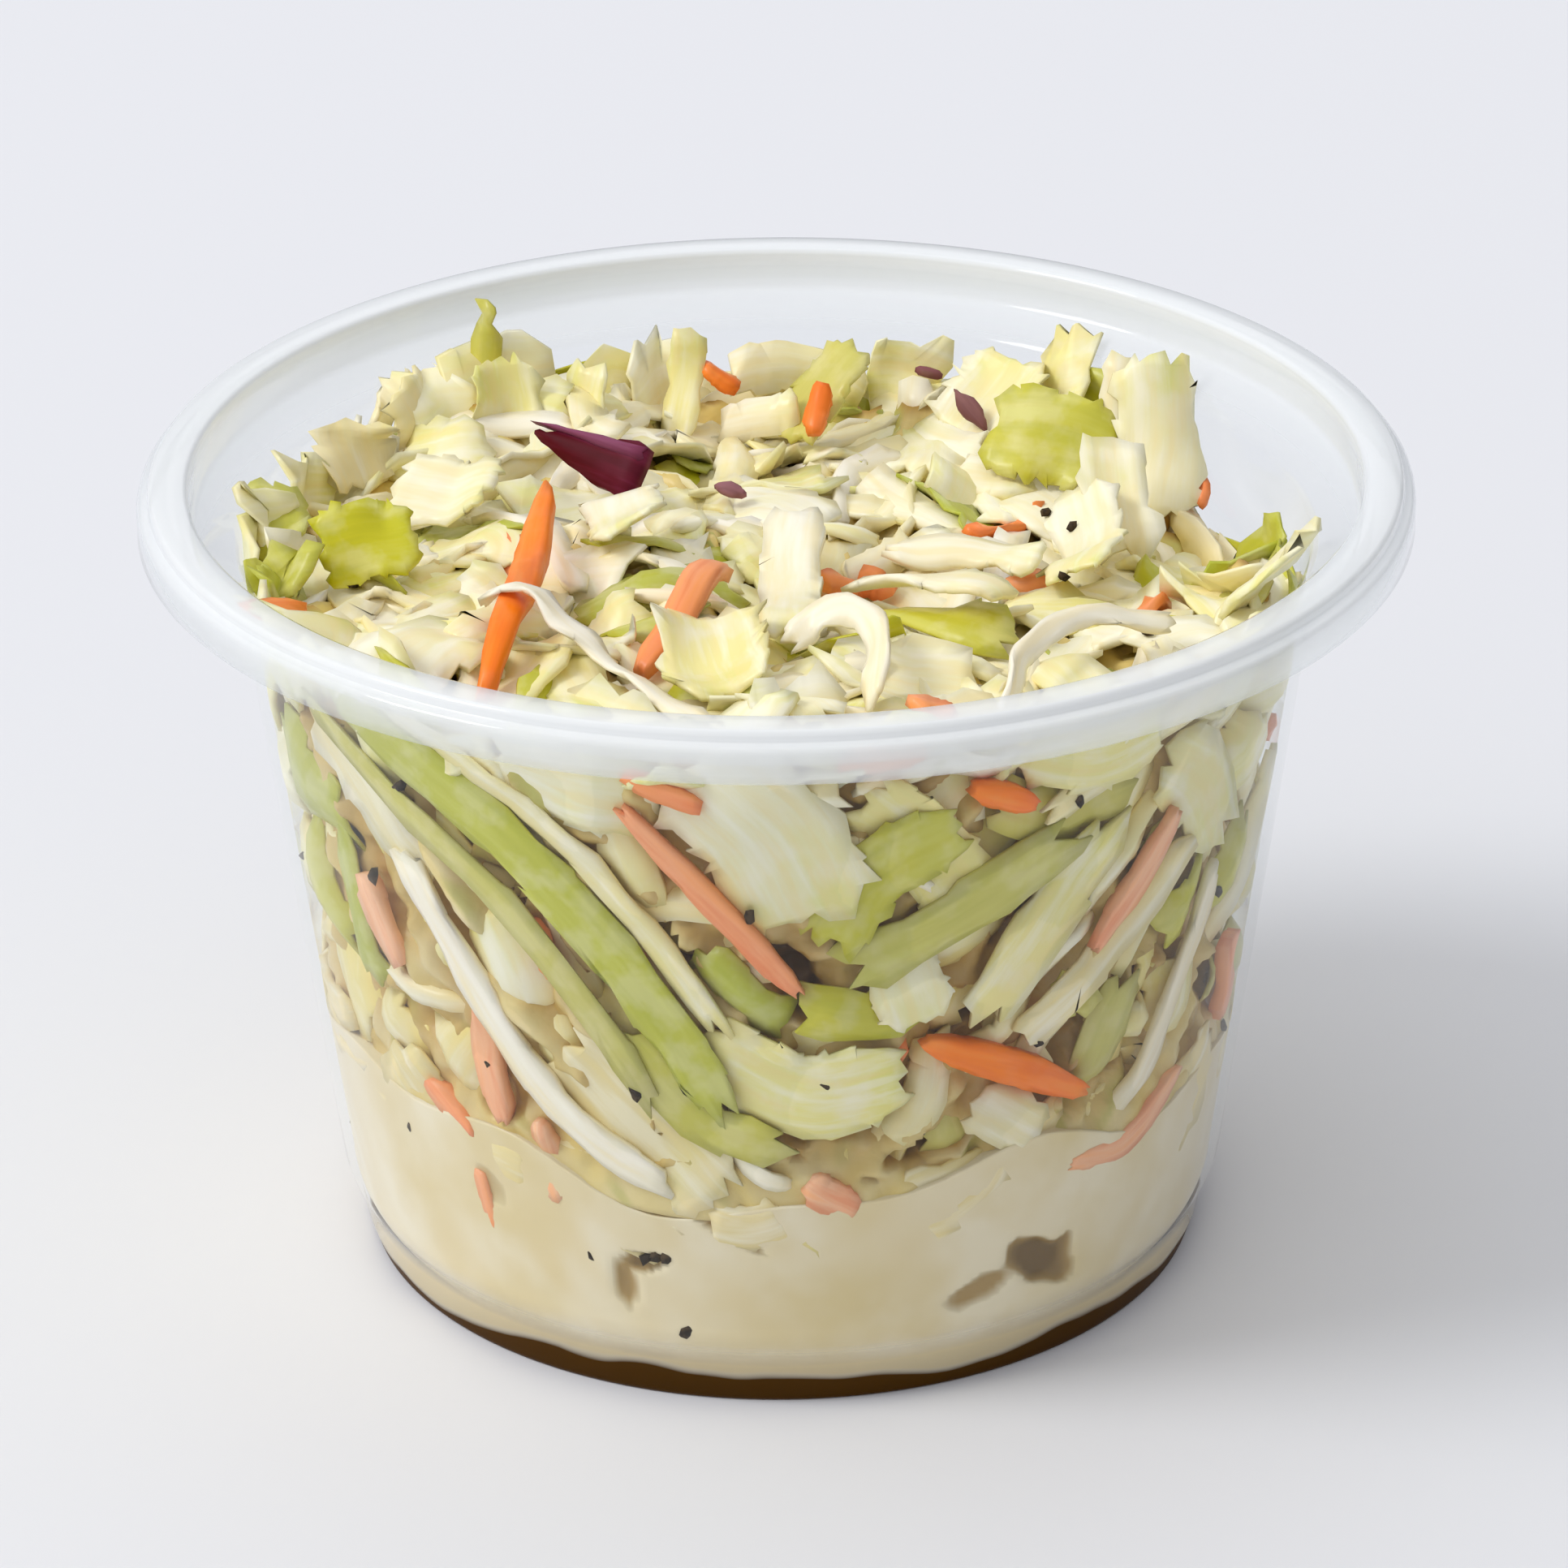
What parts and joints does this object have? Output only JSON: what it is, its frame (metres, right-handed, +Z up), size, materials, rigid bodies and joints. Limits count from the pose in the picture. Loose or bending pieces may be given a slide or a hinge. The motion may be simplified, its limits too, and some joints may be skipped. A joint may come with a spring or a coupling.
{
  "type": "coleslaw",
  "caption": "Creamy coleslaw of shredded cabbage and carrot, heaped over settled dressing in a clear tapered portion cup with a snap rim.",
  "frame": {"origin": "centre of the foot ring, on the surface it stands on", "axes": "+Z up along the cup's axis; -Y is the shown side, +X its right"},
  "size_m": [0.074, 0.074, 0.0481],
  "materials": {
    "clear_cup": "clear moulded polypropylene, slightly hazy",
    "cabbage": "shredded pale cabbage, moist with dressing",
    "green_leaf": "green outer cabbage leaf",
    "carrot": "shredded raw carrot, moist",
    "red_cabbage": "sliver of red cabbage",
    "dressing": "thin cream dressing, wet",
    "pepper": "cracked black pepper"
  },
  "bodies": {
    "root": {"cup": "clear_cup", "dressing": "dressing", "slaw": "cabbage"}
  },
  "joints": []
}
